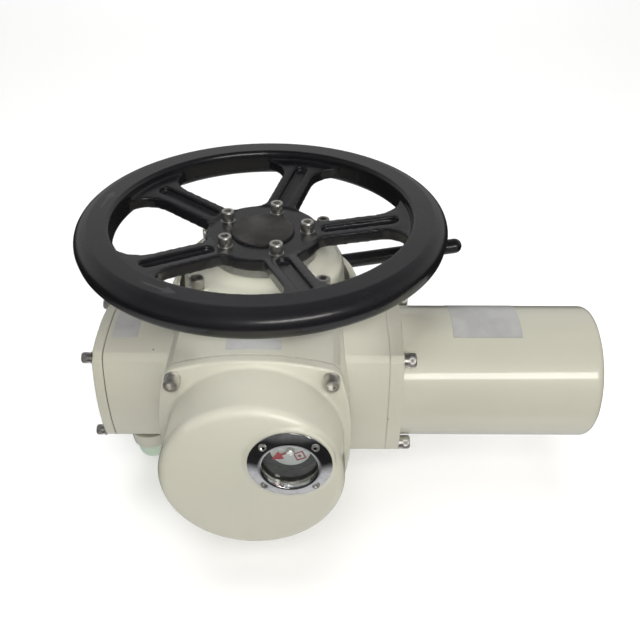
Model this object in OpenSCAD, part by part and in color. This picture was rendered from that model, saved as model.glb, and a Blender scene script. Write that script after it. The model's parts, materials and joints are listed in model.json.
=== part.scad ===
// Motorized valve actuator. Z = 0 is the valve flange face, Z runs up the output axis,
// X runs to the motor and -Y to the indicator cover.

/* [Handwheel] */
// Outer diameter of the handwheel
wheel_d = 350; // [300:5:400]
// Height of the rim's flat top above the valve flange
wheel_top = 270; // [266:1:300]
// Radial width of the rim
rim_w = 32; // [24:1:40]
// Depth of the rim from top to bottom
rim_t = 26; // [20:1:30]
// Drop from the rim top to the hub plate
hub_drop = 21.5; // [14:0.5:23]
// Radius of the hub plate
hub_r = 55; // [53:1:60]
// Thickness of the hub plate
hub_t = 12; // [9:1:14]
// Number of spokes and hub screws
spoke_count = 5; // [3:1:6]
// Width of a spoke
spoke_w = 31; // [24:1:36]
// Thickness of a spoke
spoke_t = 12; // [9:1:14]
// Pitch circle diameter of the hub screws
hub_screw_pcd = 85.2; // [84:0.2:88]
// Diameter of the hub cap
cap_d = 60.6; // [58:0.2:64]

/* [Gearcase] */
// Radius of the round middle of the gearcase
case_r = 92; // [90:1:100]
// Height of the gearcase under the top cover
case_h = 195; // [193:1:200]
// Wall thickness of the castings
wall = 8; // [5:0.5:9]
// Diameter of the valve flange
flange_d = 125; // [122:1:150]
// Thickness of the valve flange
flange_t = 18; // [16:1:22]
// Pitch circle diameter of the valve bolts
flange_pcd = 102; // [100:1:110]
// Diameter of the valve bolts
flange_bolt_d = 10; // [8:1:12]
// Diameter of the spigot recess in the valve flange
spigot_d = 70; // [66:1:74]
// Diameter of the stem bore
stem_bore_d = 42; // [30:1:46]
// Height of the worm and motor axis
drive_z = 130; // [128:1:134]

/* [Motor side] */
// Distance from the output axis to the motor flange joint
motor_seam = 117; // [112:1:130]
// Half width of the arched motor neck at mid side
motor_half = 62.5; // [61:0.5:68]
// Half spacing of the motor screws
motor_screw_half = 49.5; // [48.5:0.5:50]
// Radius of the motor cover
motor_r = 62.5; // [56:0.5:63]
// Distance from the output axis to the end of the motor cover
motor_end = 313; // [290:1:340]

/* [Terminal side] */
// Distance from the output axis to the terminal cover joint
term_seam = 140; // [134:1:150]
// Half width of the arched terminal neck at mid side
term_half = 56; // [55:0.5:62]
// Half spacing of the terminal cover screws
term_screw_half = 43.6; // [42:0.2:44]
// Thickness of the terminal cover plate
term_cover_t = 10; // [8:1:14]

/* [Front compartment] */
// Height of the front compartment's middle
front_z = 138.5; // [136:0.5:142]
// Distance from the output axis to the front cover joint
front_seam = 157; // [152:1:165]
// Half width of the front compartment at mid side
front_half = 82.6; // [80:0.2:86]
// Half spacing of the front cover screws
front_screw_half = 65; // [64:0.5:67]
// Thickness of the front cover flange
front_flange_t = 10; // [8:1:14]
// Radius of the round front dome
dome_r = 76.4; // [74:0.2:78]
// Distance from the output axis to the face of the dome
dome_face = 221; // [212:1:235]
// Window position across and above the dome's middle
window_x = 31.9; // [25:0.1:34]
// Window height above the dome's middle
window_up = 22.3; // [16:0.1:24]
// Radius of the window bezel
bezel_r = 34.2; // [31:0.2:35]
// Radius of the clear window opening
window_r = 22.4; // [18:0.2:24]

/* [Lever] */
// Diameter of the lever rod
lever_d = 16; // [12:1:18]
// Length of the lever from its pivot to its tip
lever_len = 145; // [120:1:170]
// Upward slope of the lever at rest, in degrees
lever_slope = 9.4; // [4:0.1:14]

/* [Screws] */
// Thread diameter of the cover and hub screws
screw_d = 8; // [6:1:8]
// Head diameter of those screws
head_d = 13; // [10:0.5:13]
// Head height of those screws
head_h = 8; // [6:0.5:9]
// Thread diameter of the terminal cover screws
small_screw_d = 6; // [5:1:6]

/* [Hidden] */
$fn = 64;

// Paint and metal colours
cream = [0.84, 0.84, 0.77];
black = [0.07, 0.07, 0.08];
steel = [0.74, 0.74, 0.75];
dark_steel = [0.42, 0.43, 0.45];
bronze = [0.72, 0.55, 0.30];
rubber = [0.12, 0.12, 0.13];

// Fits
slide_gap = 0.05;
seat_gap = 0.02;
thread_gap = 0.05;
loose_gap = 0.4;
gasket_t = 0.5;

// Screws
screw_r = screw_d / 2;
head_r = head_d / 2;
washer_over = 0.4;
term_screw_r = small_screw_d / 2;
term_head_r = small_screw_d * 5 / 6;
flat_t = 1.2;
spring_t = 2;
washer_t = flat_t + spring_t;
engage = 14;

// Handwheel heights and radii
wheel_r = wheel_d / 2;
rim_in = wheel_r - rim_w;
hub_top = wheel_top - hub_drop;
hub_bottom = hub_top - hub_t;
hub_screw_r = hub_screw_pcd / 2;
seat_drop = 1.2;
spoke_turn = 2.5;
spoke_rise = 12;
spoke_foot = 44;
spoke_tilt = atan(spoke_rise / (rim_in - spoke_foot));
flare_r = 22;
groove_w = 13;
groove_deep = 5;
cap_t = 3.1;
cap_plug_r = 27;

// Drive sleeve and top cover
sleeve_flange_t = 8;
sleeve_flange_r = hub_screw_r + 9.4;
sleeve_r = 36;
sleeve_bore_r = 31;
collar_r = 42;
dog_base = 192;
dog_h = 6;
dog_arc = 38;
cover_top = hub_bottom - sleeve_flange_t - 2;
cover_r = 77.5;
cover_shoulder = 221;
cover_screw_at = 57.6;
ear_r = 10;
neck_start = 62;
bearing_gap = 14;
seal_r = 42;
label_t = 0.3;
earth_x = 128;
bezel_sink = 2.9;
dial_r = 16.6;
pointer_turn = 121;

// Column, worm wheel and clutch
column_r = 30;
column_foot = 5;
column_neck_z = 184;
column_neck_r = 26;
column_end = cover_top - 0.5;
stem_r = stem_bore_d / 2;
stem_key_w = 12;
stem_key_deep = 3.3;
gear_module = 3;
wheel_teeth = 30;
pitch_r = gear_module * wheel_teeth / 2;
worm_pitch_r = 17;
worm_y = -(pitch_r + worm_pitch_r);
lead = PI * gear_module;
lead_angle = atan(lead / (2 * PI * worm_pitch_r));
backlash = 0.35;
tooth_half = lead / 4 - backlash;
flank = tan(20);
gear_face = 12;
clutch_bottom = drive_z + 13.4;
clutch_top = 178;
clutch_r = 46;
clutch_lip_r = 56;
fork_z = 162;
groove_half = 6;
lip_t = 5;
dog_low_z = drive_z + 8;

// Bearings
bearing_h = 16;
low_bearing_z = 18;
mid_bearing_z = 90;
top_bearing_z = 200;
web_z = 86;

// Lever
lever_x = 65;
lever_y = 86;
lever_boss_r = 16;
lever_boss_y = lever_y - 8.5;
lever_shaft_r = 8;
lever_hub_r = 15;
lever_hub_w = 15;
fork_y = 17;
fork_w = 10;
fork_reach = 16.5;

// Compartments
term_y = -60;
term_z = drive_z + 1.5;
motor_bulge = 230;
term_bulge = 150;
front_bulge = 227;
corner_cut = 2;
motor_bore_r = 50;
term_room = 42;
front_back = 114;
cover_lip = 13;
motor_wall = 4;
window_z = front_z + window_up;
window_boss_r = bezel_r + 2.3;
bezel_t = 4;
glass_t = 4;
bezel_screw_r = 29;
small_r = 2;
small_head_r = 3.4;
plate_y = 203;
gland_x = -113;
gland_spread = 24;
gland_r = 15;
cable_r = 6;
gland_boss_r = 20;
gland_boss_z = 62;
shield_t = 11;
shaft_r = 9;
worm_end_x = -74;

// Places a child on each corner of a square
module corners(half) {
  for (x = [-1, 1], y = [-1, 1]) translate([x * half, y * half, 0]) children();
}

// Square outline with round corners
module soft_square(half, r) {
  square([2 * half, 2 * (half - r)], center = true);
  square([2 * (half - r), 2 * half], center = true);
  corners(half - r) circle(r);
}

// Square outline with arched sides of radius bulge and slightly blunted corners
module arched_square(half, bulge) {
  q = bulge - half;
  corner = (sqrt(2 * bulge * bulge - q * q) - q) / 2;
  intersection() {
    intersection_for(a = [0 : 90 : 270])
      rotate(a) translate([half - bulge, 0]) circle(bulge, $fn = 180);
    circle(corner * sqrt(2) - corner_cut, $fn = 96);
  }
}

module front_outline() { arched_square(front_half, front_bulge); }
module motor_outline() { arched_square(motor_half, motor_bulge); }
module term_outline() { arched_square(term_half, term_bulge); }

// Turns a child that stands on Z so that it points to the front, the motor or the terminals
module to_front(y, z = 0, x = 0) { translate([x, -y, z]) rotate([90, 0, 0]) children(); }
module to_motor(x) { translate([x, worm_y, drive_z]) rotate([90, 0, 90]) children(); }
module to_terminals(x) { translate([-x, term_y, term_z]) rotate([90, 0, -90]) children(); }

module ring(r_out, r_in, h) {
  difference() {
    cylinder(h = h, r = r_out);
    translate([0, 0, -1]) cylinder(h = h + 2, r = r_in);
  }
}

module ring_piece(r_out, r_in, h, arc) {
  intersection() {
    ring(r_out, r_in, h);
    linear_extrude(h) polygon(concat([[0, 0]],
      [for (i = [-2 : 2]) 1.5 * r_out * [cos(i * arc / 4), sin(i * arc / 4)]]));
  }
}

// Socket head screw: the head stands on Z = 0 and the shank hangs down
module cap_screw(r, hr, hh, len) {
  difference() {
    union() {
      cylinder(h = hh - 0.6, r = hr);
      translate([0, 0, hh - 0.6]) cylinder(h = 0.6, r1 = hr, r2 = hr - 0.6);
      translate([0, 0, -len]) cylinder(h = len + 0.1, r = r);
    }
    translate([0, 0, hh * 0.45]) cylinder(h = hh, r = 0.87 * r, $fn = 6);
  }
}

// Flat washer with a split spring washer on it
module washer_pair(r, hr) {
  ring(hr + washer_over, r + loose_gap, flat_t);
  translate([0, 0, flat_t]) difference() {
    ring(hr - 0.2, r + thread_gap, spring_t);
    translate([0, -0.5, -1]) cube([hr + 1, 1, spring_t + 2]);
  }
}

// Bearing with two races and a row of balls
module ball_bearing(r_in, r_out, h, balls) {
  mid = (r_in + r_out) / 2;
  ball = 0.3 * (r_out - r_in);
  race = 0.36 * (r_out - r_in);
  difference() {
    union() {
      ring(r_in + race, r_in, h);
      ring(r_out, r_out - race, h);
    }
    translate([0, 0, h / 2]) rotate_extrude() translate([mid, 0]) circle(ball + 0.02, $fn = 32);
  }
  for (i = [0 : balls - 1]) rotate(i * 360 / balls)
    translate([mid, 0, h / 2]) sphere(ball, $fn = 32);
}

// Gearcase
module case_body() {
  rotate_extrude($fn = 128) polygon([[0, 0], [flange_d / 2, 0], [flange_d / 2, flange_t],
    [flange_d / 2 - 6, flange_t + 6], [case_r - 4, 74], [case_r, 82], [case_r, case_h - 4],
    [case_r - 1.2, case_h - 1.2], [case_r - 4, case_h], [0, case_h]]);
  corners(cover_screw_at) translate([0, 0, case_h - 30]) cylinder(h = 30, r = ear_r);
}

module case_necks() {
  to_motor(0) linear_extrude(motor_seam) motor_outline();
  to_terminals(0) linear_extrude(term_seam) term_outline();
  to_front(40, front_z) linear_extrude(front_seam - 40) front_outline();
  translate([lever_x, 30, fork_z]) rotate([-90, 0, 0]) cylinder(h = lever_boss_y - 30, r = lever_boss_r);
  for (s = [-1, 1]) translate([gland_x, term_y + s * gland_spread, gland_boss_z])
    cylinder(h = term_z - term_half - gland_boss_z + 2, r1 = gland_boss_r - 2, r2 = gland_boss_r);
}

module case_cavity() {
  main_r = case_r - wall;
  difference() {
    translate([0, 0, web_z + 22]) cylinder(h = case_h, r = main_r);
    corners(cover_screw_at) translate([0, 0, case_h - 30]) cylinder(h = 31, r = ear_r);
    translate([-case_r, -case_r, case_h]) cube([2 * case_r, 2 * case_r, case_h]);
  }
  translate([0, 0, case_h]) cylinder(h = 60, r = cover_r + 2 + slide_gap);
  translate([-case_r, -neck_start, case_h]) cube([2 * case_r, neck_start, 60]);
  corners(cover_screw_at) translate([0, 0, case_h]) cylinder(h = 60, r = ear_r + loose_gap);
  rotate_extrude() polygon([[0, flange_t + bearing_h], [44 + 4, flange_t + bearing_h + 2],
    [main_r - 4, 78], [main_r - 4, web_z], [0, web_z]]);
  cylinder(h = 200, r = column_r + 1.5);
  translate([0, 0, -1]) cylinder(h = 4, r = spigot_d / 2);
  translate([0, 0, low_bearing_z - 8]) cylinder(h = bearing_h + 10, r = column_r + bearing_gap);
  translate([0, 0, mid_bearing_z]) cylinder(h = 30, r = column_r + bearing_gap);
}

module case_openings() {
  to_motor(worm_end_x) cylinder(h = 200, r = 17.5);
  to_motor(-58) cylinder(h = 200, r = 24);
  to_motor(62) cylinder(h = 100, r = motor_bore_r);
  to_terminals(92) linear_extrude(100) soft_square(term_room, 12);
  to_front(front_back, front_z) cylinder(h = 100, r = dome_r - 6);
  to_front(front_back - 40, window_z, window_x) cylinder(h = 60, r = 6.5);
  translate([lever_x, 20, fork_z]) rotate([-90, 0, 0]) cylinder(h = 60, r = lever_shaft_r + slide_gap);
  translate([lever_x, lever_boss_y - 6, fork_z]) rotate([-90, 0, 0]) cylinder(h = 10, r = lever_shaft_r + 4);
  for (s = [-1, 1]) translate([gland_x, term_y + s * gland_spread, gland_boss_z - 1])
    cylinder(h = 40, r = gland_r - 3);
}

module case_screw_holes() {
  corners(cover_screw_at) translate([0, 0, case_h - engage]) cylinder(h = 40, r = screw_r + thread_gap);
  to_motor(motor_seam - engage) corners(motor_screw_half) cylinder(h = 40, r = screw_r + thread_gap);
  to_terminals(term_seam - engage) corners(term_screw_half) cylinder(h = 40, r = term_screw_r + thread_gap);
  to_front(front_seam - engage, front_z) corners(front_screw_half)
    cylinder(h = 40, r = screw_r + thread_gap);
  for (i = [0 : 3]) rotate(45 + 90 * i) translate([flange_pcd / 2, 0, -1])
    cylinder(h = 14, r = flange_bolt_d / 2);
  to_terminals(earth_x) translate([0, -30, 0]) rotate([90, 0, 0]) cylinder(h = 40, r = 3 + thread_gap);
}

module gearcase() {
  color(cream) difference() {
    union() {
      case_body();
      case_necks();
    }
    case_cavity();
    case_openings();
    case_screw_holes();
  }
}

module lower_seal() {
  color(rubber) translate([0, 0, low_bearing_z - 8]) ring(column_r + bearing_gap, column_r + slide_gap, 8);
}

module lower_bearing() {
  color(steel) translate([0, 0, low_bearing_z])
    ball_bearing(column_r + slide_gap, column_r + bearing_gap, bearing_h, 14);
}

module middle_bearing() {
  color(steel) translate([0, 0, mid_bearing_z])
    ball_bearing(column_r + slide_gap, column_r + bearing_gap, bearing_h, 14);
}

// Top cover
module top_cover() {
  ear_top = cover_shoulder;
  color(cream) difference() {
    union() {
      rotate_extrude($fn = 128) polygon([[0, case_h], [cover_r + 2, case_h], [cover_r, cover_shoulder - 6],
        [cover_r - 1.8, cover_shoulder - 1.8], [cover_r - 6, cover_shoulder], [62, cover_shoulder + 0.6],
        [51, cover_top], [0, cover_top]]);
      corners(cover_screw_at) translate([0, 0, case_h]) cylinder(h = ear_top - case_h, r = ear_r);
    }
    translate([0, 0, case_h - 1]) cylinder(h = top_bearing_z - case_h + 1, r = collar_r + 16);
    translate([0, 0, top_bearing_z - 1]) cylinder(h = bearing_h + 1, r = sleeve_r + bearing_gap);
    cylinder(h = 300, r = sleeve_r + 1);
    translate([0, 0, top_bearing_z + bearing_h + 2]) cylinder(h = 40, r = seal_r);
    corners(cover_screw_at) cylinder(h = 300, r = screw_r + loose_gap);
  }
}

module upper_bearing() {
  color(steel) translate([0, 0, top_bearing_z])
    ball_bearing(sleeve_r + slide_gap, sleeve_r + bearing_gap, bearing_h - 1, 16);
}

module top_seal() {
  color(rubber) translate([0, 0, top_bearing_z + bearing_h + 2]) ring(seal_r, sleeve_r + slide_gap, 6);
}

module top_cover_screws() {
  color(steel) corners(cover_screw_at) translate([0, 0, cover_shoulder + washer_t])
    cap_screw(screw_r, head_r, head_h, cover_shoulder + washer_t - case_h + engage - 2);
}

// Front compartment
module front_gasket() {
  color(rubber) to_front(front_seam, front_z) linear_extrude(gasket_t) difference() {
    front_outline();
    circle(dome_r - 6);
    corners(front_screw_half) circle(screw_r + loose_gap);
  }
}

module front_cover() {
  seat = front_seam + gasket_t;
  dome_h = dome_face - seat;
  color(cream) difference() {
    union() {
      to_front(seat, front_z) linear_extrude(front_flange_t) front_outline();
      to_front(seat, front_z) rotate_extrude($fn = 128) polygon(concat([[0, 0], [dome_r, 0],
        [dome_r, front_flange_t], [dome_r, dome_h - 8]],
        [for (a = [15 : 15 : 90]) [dome_r - 8 + 8 * cos(a), dome_h - 8 + 8 * sin(a)]], [[0, dome_h]]));
      to_front(dome_face - 6, window_z, window_x) cylinder(h = 7.5, r = window_boss_r);
    }
    to_front(seat - 1, front_z) cylinder(h = dome_h - 5, r = dome_r - 6);
    to_front(dome_face - 20, window_z, window_x) cylinder(h = 40, r = window_r + 1);
    to_front(dome_face - 3, window_z, window_x) cylinder(h = 40, r = window_r + 3.4);
    to_front(seat - 1, front_z) corners(front_screw_half) cylinder(h = 30, r = screw_r + loose_gap);
    to_front(dome_face - 5, window_z, window_x) for (i = [0 : 3]) rotate(45 + 90 * i)
      translate([bezel_screw_r, 0, 0]) cylinder(h = 20, r = small_r + thread_gap);
  }
}

module front_screws() {
  seat = front_seam + gasket_t + front_flange_t + washer_t;
  color(steel) to_front(seat, front_z) corners(front_screw_half)
    cap_screw(screw_r, head_r, head_h, seat - front_seam + engage - 2);
}

module window_glass() {
  color([0.75, 0.85, 0.85, 0.4]) to_front(dome_face - 3, window_z, window_x)
    cylinder(h = glass_t + 0.5, r = window_r + 3);
}

module window_bezel() {
  color([0.8, 0.8, 0.82]) to_front(dome_face + 1.5, window_z, window_x) difference() {
    rotate_extrude($fn = 96) polygon([[window_r, 0], [bezel_r, 0], [bezel_r, bezel_t - 3.2],
      [window_r + 3.5, bezel_t], [window_r + 1, bezel_t], [window_r, bezel_t - 1]]);
    for (i = [0 : 3]) rotate(45 + 90 * i) translate([bezel_screw_r, 0, -1])
      cylinder(h = 20, r = small_r + 0.2);
    for (i = [0 : 3]) rotate(45 + 90 * i) translate([bezel_screw_r, 0, bezel_t - bezel_sink])
      cylinder(h = 20, r = small_head_r + 0.2);
  }
}

module bezel_screws() {
  color(steel) to_front(dome_face + 1.5 + bezel_t - bezel_sink, window_z, window_x)
    for (i = [0 : 3]) rotate(45 + 90 * i) translate([bezel_screw_r, 0, 0])
      cap_screw(small_r, small_head_r, 2.6, 6);
}

module indicator_plate() {
  color([0.93, 0.93, 0.9]) to_front(plate_y, window_z, window_x) ring(dial_r, 4, 1.5);
}

module indicator_gearbox() {
  color(black) difference() {
    union() {
      to_front(plate_y - 2, window_z, window_x) cylinder(h = 2, r = 24.5);
      to_front(plate_y - 30, window_z, window_x) translate([-22, -20, 0]) cube([42, 40, 28]);
      to_front(front_back, window_z, window_x) translate([-16, -14, 0]) cube([32, 28, plate_y - 30 - front_back]);
    }
    to_front(front_back - 1, window_z, window_x) cylinder(h = 200, r = 3.2);
  }
}

module indicator_pointer() {
  color([0.8, 0.12, 0.1]) to_front(plate_y + 2, window_z, window_x) rotate(pointer_turn) {
    difference() {
      union() {
        cylinder(h = 1.5, r = 3.6);
        linear_extrude(1.5) polygon([[-1, 0], [1, 0], [1, 9], [4.4, 9], [0, 18], [-4.4, 9], [-1, 9]]);
      }
      translate([0, 0, -1]) cylinder(h = 4, r = 2 + seat_gap);
    }
  }
}

module pointer_screw() {
  len = plate_y + 3.5 - front_back + 6;
  color(steel) to_front(plate_y + 3.5, window_z, window_x) {
    cap_screw(2, 3.5, 2.4, 6);
    translate([0, 0, -len]) cylinder(h = len - 1.5, r = 3.1);
  }
}

module limit_switch_unit() {
  color([0.2, 0.2, 0.22]) to_front(front_back, front_z) {
    translate([-56, -6, 0]) cube([48, 44, 46]);
    for (i = [0 : 3]) translate([-52 + 12 * i, 34, 46]) cylinder(h = 5, r = 4);
  }
}

module torque_switch_unit() {
  color([0.75, 0.35, 0.12]) to_front(front_back, front_z) {
    translate([-44, -52, 0]) cube([40, 36, 38]);
    translate([6, -52, 0]) cube([38, 36, 30]);
    for (x = [-26, 26]) translate([x, -34, 29]) cylinder(h = 14, r = 7);
  }
}

// Terminal side
module terminal_gasket() {
  color(rubber) to_terminals(term_seam) linear_extrude(gasket_t) difference() {
    term_outline();
    soft_square(term_room, 12);
    corners(term_screw_half) circle(term_screw_r + loose_gap);
  }
}

module terminal_cover() {
  seat = term_seam + gasket_t;
  color(cream) difference() {
    union() {
      to_terminals(seat) linear_extrude(term_cover_t) term_outline();
      to_terminals(seat + term_cover_t) rotate_extrude() polygon([[0, -1], [34, -1], [33, 2], [0, 2]]);
    }
    to_terminals(seat - 1) linear_extrude(term_cover_t - 4) soft_square(term_room - 4, 12);
    to_terminals(seat - 1) corners(term_screw_half) cylinder(h = 30, r = term_screw_r + loose_gap);
  }
}

module terminal_screws() {
  seat = term_seam + gasket_t + term_cover_t + washer_t;
  color(steel) to_terminals(seat) corners(term_screw_half)
    cap_screw(term_screw_r, term_head_r, small_screw_d, seat - term_seam + engage - 2);
}

module terminal_block() {
  color([0.15, 0.3, 0.2]) to_terminals(92) difference() {
    translate([-36, -10, 0]) cube([72, 34, 24]);
    for (i = [0 : 7]) translate([-31.5 + 9 * i, 2, 14]) cylinder(h = 12, r = 2.5);
    for (i = [0 : 7]) translate([-31.5 + 9 * i, 14, 14]) cylinder(h = 12, r = 2.5);
  }
}

module motor_capacitor() {
  color([0.85, 0.85, 0.8]) to_terminals(92) translate([-30, -30, 10]) rotate([0, 90, 0])
    cylinder(h = 60, r = 10);
}

module earth_screw() {
  color(steel) to_terminals(earth_x) translate([0, -term_half - seat_gap, 0]) rotate([90, 0, 0])
    cap_screw(3, 5, 5, 8);
}

module gland_bodies() {
  color([0.72, 0.85, 0.78]) for (s = [-1, 1])
    translate([gland_x, term_y + s * gland_spread, gland_boss_z]) difference() {
      union() {
        translate([0, 0, -7]) cylinder(h = 7, r = gland_r);
        cylinder(h = 20, r = gland_r - 3 - thread_gap);
      }
      translate([0, 0, -9]) cylinder(h = 40, r = cable_r);
    }
}

module gland_nuts() {
  color([0.72, 0.85, 0.78]) for (s = [-1, 1])
    translate([gland_x, term_y + s * gland_spread, gland_boss_z - 7]) difference() {
      rotate_extrude() polygon([[0, 0], [gland_r - 1, 0], [gland_r - 1, -5], [gland_r - 2.5, -9.5],
        [gland_r - 6, -12], [0, -12]]);
      translate([0, 0, -13]) cylinder(h = 20, r = cable_r + 1);
    }
}

// Motor side
module motor_gasket() {
  color(rubber) to_motor(motor_seam) linear_extrude(gasket_t) difference() {
    motor_outline();
    circle(motor_bore_r);
    corners(motor_screw_half) circle(screw_r + loose_gap);
  }
}

module motor_cover() {
  seat = motor_seam + gasket_t;
  body = motor_end - seat;
  color(cream) to_motor(seat) difference() {
    union() {
      linear_extrude(cover_lip - gasket_t) motor_outline();
      rotate_extrude($fn = 128) polygon(concat([[0, 0], [motor_r - 4, 0], [motor_r - 4, 2], [motor_r, 8]],
        [for (a = [0 : 15 : 90]) [motor_r - 8 + 8 * cos(a), body - 8 + 8 * sin(a)]], [[0, body]]));
    }
    translate([0, 0, -1]) cylinder(h = body - motor_wall, r = motor_bore_r);
    translate([0, 0, 14]) cylinder(h = body - 14 - motor_wall, r = motor_r - motor_wall);
    translate([0, 0, -1]) corners(motor_screw_half) cylinder(h = cover_lip + 1, r = screw_r + loose_gap);
  }
}

module motor_screws() {
  seat = motor_seam + cover_lip + washer_t;
  color(steel) to_motor(seat) corners(motor_screw_half)
    cap_screw(screw_r, head_r, head_h, seat - motor_seam + engage - 2);
}

module cover_washers() {
  color(steel) {
    corners(cover_screw_at) translate([0, 0, cover_shoulder]) washer_pair(screw_r, head_r);
    to_front(front_seam + gasket_t + front_flange_t, front_z) corners(front_screw_half)
      washer_pair(screw_r, head_r);
    to_terminals(term_seam + gasket_t + term_cover_t) corners(term_screw_half)
      washer_pair(term_screw_r, term_head_r);
    to_motor(motor_seam + cover_lip) corners(motor_screw_half) washer_pair(screw_r, head_r);
  }
}

module motor_end_shield() {
  color(dark_steel) to_motor(motor_seam - shield_t) difference() {
    cylinder(h = shield_t, r = motor_bore_r - 0.02);
    translate([0, 0, -1]) cylinder(h = shield_t + 2, r = 17.5);
  }
}

module worm_bearings() {
  color(steel) {
    to_motor(worm_end_x) ball_bearing(shaft_r + slide_gap, 17.5, 11, 9);
    to_motor(motor_seam - shield_t) ball_bearing(shaft_r + slide_gap, 17.5, shield_t, 9);
  }
}

module motor_stator() {
  color([0.5, 0.28, 0.16]) to_motor(motor_seam + gasket_t + 28) {
    ring(motor_r - motor_wall, 33, 92);
    for (x = [-12, 92]) translate([0, 0, x]) ring(52, 35, 12);
  }
}

module worm_shaft() {
  color(steel) to_motor(worm_end_x) cylinder(h = 290 + worm_end_x, r = shaft_r);
}

module motor_rotor() {
  color(dark_steel) to_motor(motor_seam + gasket_t + 26) ring(32.4, shaft_r, 96);
}

// Worm: a core with one helical thread
function thread_section(a, x) = [for (p = [[-1, -3.8], [-1, 3], [1, 3], [1, -3.8]])
  let (r = worm_pitch_r + p[1], w = p[0] * (tooth_half - p[1] * flank))
  [r * cos(a), r * sin(a), x + w]];

module worm_thread(turns, steps) {
  count = turns * steps;
  points = [for (i = [0 : count]) each thread_section(360 * i / steps,
    lead * (i / steps - turns / 2 + 0.5 * (turns % 2 == 0 ? 1 : 0)))];
  sides = [for (i = [0 : count - 1], k = [0 : 3])
    [4 * i + k, 4 * i + (k + 1) % 4, 4 * i + 4 + (k + 1) % 4, 4 * i + 4 + k]];
  polyhedron(points, concat([[3, 2, 1, 0]], sides, [[4 * count, 4 * count + 1, 4 * count + 2, 4 * count + 3]]));
}

module worm() {
  color(bronze) to_motor(0) difference() {
    union() {
      translate([0, 0, -46]) cylinder(h = 92, r = worm_pitch_r - 3.6);
      worm_thread(6, 20);
    }
    translate([0, 0, -60]) cylinder(h = 120, r = shaft_r + seat_gap);
  }
}

module worm_wheel() {
  tip = pitch_r + gear_module;
  root = pitch_r - 3.6;
  color(bronze) translate([0, 0, drive_z]) difference() {
    union() {
      translate([0, 0, -gear_face / 2]) cylinder(h = gear_face, r = root);
      translate([0, 0, -12]) cylinder(h = 20, r = 40);
      for (i = [0 : wheel_teeth - 1]) rotate(i * 360 / wheel_teeth) rotate([0, lead_angle, 0])
        translate([0, 0, -gear_face / 2]) linear_extrude(gear_face)
          polygon([for (p = [[-1, root - 1], [-1, tip], [1, tip], [1, root - 1]])
            [p[0] * (tooth_half - (p[1] - pitch_r) * flank), -p[1]]]);
      for (i = [0 : 3]) rotate(90 * i) translate([0, 0, 7]) ring_piece(collar_r - 1, column_r, 6, dog_arc);
    }
    translate([0, 0, -40]) cylinder(h = 80, r = column_r + seat_gap);
  }
}

module spacer_ring() {
  low = mid_bearing_z + bearing_h;
  color(dark_steel) translate([0, 0, low + 0.1]) ring(column_r + 4, column_r + seat_gap, drive_z - 12 - low - 0.1);
}

module drive_column() {
  color(steel) difference() {
    rotate_extrude() polygon([[0, column_foot], [column_r, column_foot], [column_r, column_neck_z],
      [column_neck_r, column_neck_z], [column_neck_r, column_end], [0, column_end]]);
    translate([0, 0, -1]) cylinder(h = 300, r = stem_r);
    translate([-stem_key_w / 2, 0, -1]) cube([stem_key_w, stem_r + stem_key_deep, 90]);
  }
}

// Clutch
module clutch_ring() {
  color(steel) difference() {
    union() {
      translate([0, 0, clutch_bottom]) cylinder(h = clutch_top - clutch_bottom, r = clutch_r);
      for (z = [fork_z - groove_half - lip_t, fork_z + groove_half])
        translate([0, 0, z]) cylinder(h = lip_t, r = clutch_lip_r);
      for (i = [0 : 3]) rotate(45 + 90 * i) {
        translate([0, 0, dog_low_z + 0.4]) ring_piece(collar_r - 1, column_r, 6, dog_arc);
        translate([0, 0, clutch_top - 1]) ring_piece(collar_r - 1, column_r, 6, dog_arc);
      }
    }
    cylinder(h = 300, r = column_r + slide_gap);
  }
}

module drive_sleeve() {
  color(dark_steel) difference() {
    union() {
      translate([0, 0, dog_base]) cylinder(h = hub_bottom - dog_base, r = sleeve_r);
      translate([0, 0, dog_base]) cylinder(h = top_bearing_z - 2 - dog_base, r = collar_r);
      translate([0, 0, hub_bottom - sleeve_flange_t]) cylinder(h = sleeve_flange_t, r = sleeve_flange_r);
      for (i = [0 : 3]) rotate(90 * i) translate([0, 0, dog_base - dog_h])
        ring_piece(collar_r - 1, sleeve_bore_r, dog_h + 1, dog_arc);
    }
    cylinder(h = 300, r = sleeve_bore_r);
    for (i = [0 : spoke_count - 1]) rotate(spoke_turn + i * 360 / spoke_count)
      translate([hub_screw_r, 0, 0]) cylinder(h = 300, r = screw_r + thread_gap);
  }
}

// Handwheel
module rim() {
  rotate_extrude($fn = 180) translate([rim_in, wheel_top]) polygon(concat(
    [[0, 0], [rim_w - 12.4, 0], [rim_w - 11.6, -0.6]],
    [for (a = [75 : -15 : 0]) [rim_w - 12 + 12 * cos(a), -13.6 + 13 * sin(a)]],
    [for (a = [0 : -22.5 : -90]) [rim_w - 9 + 8 * cos(a), 9 - rim_t - 1 + 8 * sin(a)]],
    [for (a = [-90 : -30 : -180]) [3 + 5 * cos(a), 5 - rim_t + 5 * sin(a)]],
    [[-2.4, -5], [-1.6, -2]]));
}

module spoke() {
  reach = (rim_in + 4) / cos(spoke_tilt);
  start = reach - flare_r - 2;
  rotate([0, -spoke_tilt, 0]) translate([0, 0, -spoke_t]) difference() {
    linear_extrude(spoke_t) {
      translate([30, -spoke_w / 2]) square([reach - 30, spoke_w]);
      difference() {
        translate([start, -spoke_w / 2 - flare_r]) square([flare_r, spoke_w + 2 * flare_r]);
        for (s = [-1, 1]) translate([start, s * (spoke_w / 2 + flare_r)]) circle(flare_r);
      }
    }
    translate([0, 0, spoke_t - groove_deep]) linear_extrude(groove_deep + 1) {
      translate([hub_screw_r + 20, -groove_w / 2]) square([start - hub_screw_r - 20, groove_w]);
      for (x = [hub_screw_r + 20, start]) translate([x, 0]) circle(groove_w / 2);
    }
  }
}

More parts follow.
